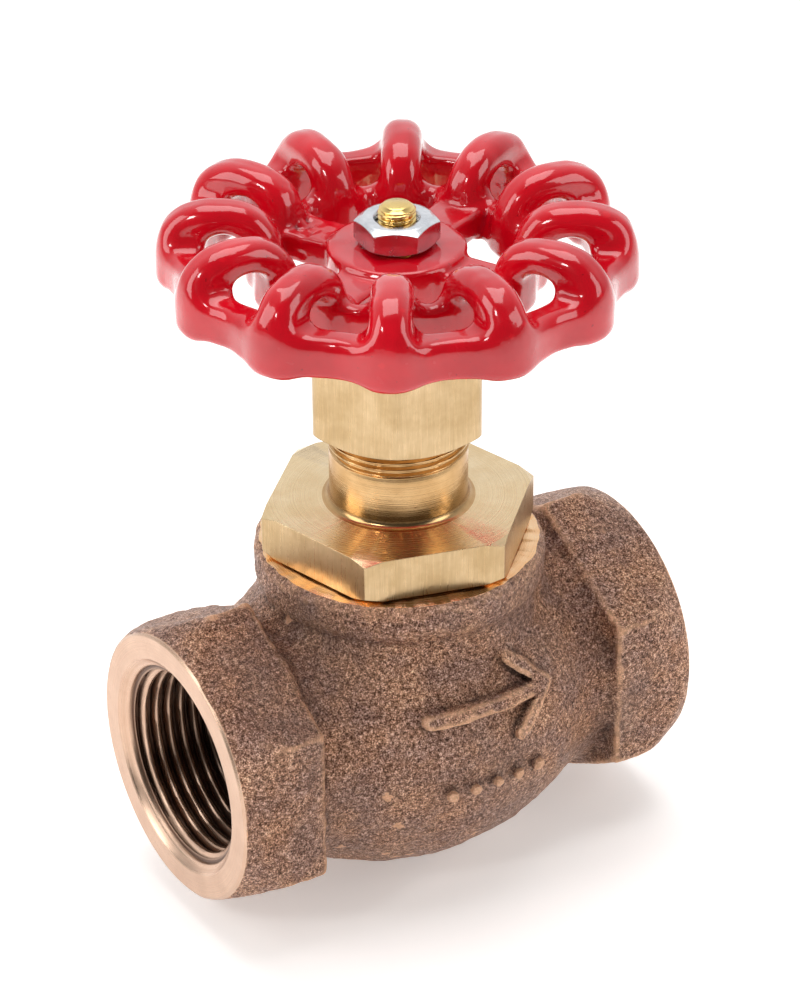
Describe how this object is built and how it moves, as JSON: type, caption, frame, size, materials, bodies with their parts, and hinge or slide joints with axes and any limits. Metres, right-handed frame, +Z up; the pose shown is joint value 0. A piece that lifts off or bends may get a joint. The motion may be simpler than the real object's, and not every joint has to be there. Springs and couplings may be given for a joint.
{
  "type": "globe valve",
  "caption": "Threaded bronze globe valve with a screw-in hexagon bonnet, packing nut, rising stem and a vented red handwheel.",
  "frame": {"origin": "on the surface the valve stands on, under the stem, at the centre of the bounding box's base", "axes": "+Z up along the stem, +X along the pipe towards the outlet, +Y away from the side with the flow arrow"},
  "size_m": [0.07, 0.0612, 0.0943],
  "materials": {
    "cast_bronze": "as cast, sand textured, with machined end faces and threads",
    "turned_brass": "satin, turned",
    "stem_brass": "bright, turned",
    "red_enamel": "thick glossy enamel on cast iron",
    "zinc_plate": "bright zinc plate",
    "seat_plastic": "satin fluoropolymer",
    "packing": "matt graphited yarn"
  },
  "bodies": {
    "body": {"valve_body": "cast_bronze", "bonnet": "turned_brass", "packing_nut": "turned_brass", "packing_gland": "turned_brass", "packing_ring_1": "packing", "packing_ring_2": "packing", "packing_ring_3": "packing"},
    "disc": {"disc_holder": "turned_brass", "seat_disc": "seat_plastic", "seat_disc_nut": "turned_brass", "stem_lock_nut": "turned_brass"},
    "wheel": {"stem": "stem_brass", "handwheel": "red_enamel", "handwheel_nut": "zinc_plate"}
  },
  "joints": [
    {"name": "disc_lift", "type": "slide", "parent": "body", "child": "disc", "axis": [0, 0, 1], "range_m": [0, 0.0063]},
    {"name": "handwheel_turn", "type": "hinge", "parent": "disc", "child": "wheel", "pos_m": [0, 0, 0.0886], "axis": [0, 0, 1], "range_deg": [0, 1080]}
  ],
  "couplings": [
    {"joint": "disc_lift", "follows": "handwheel_turn", "m_per_rad": 0.00033422}
  ]
}
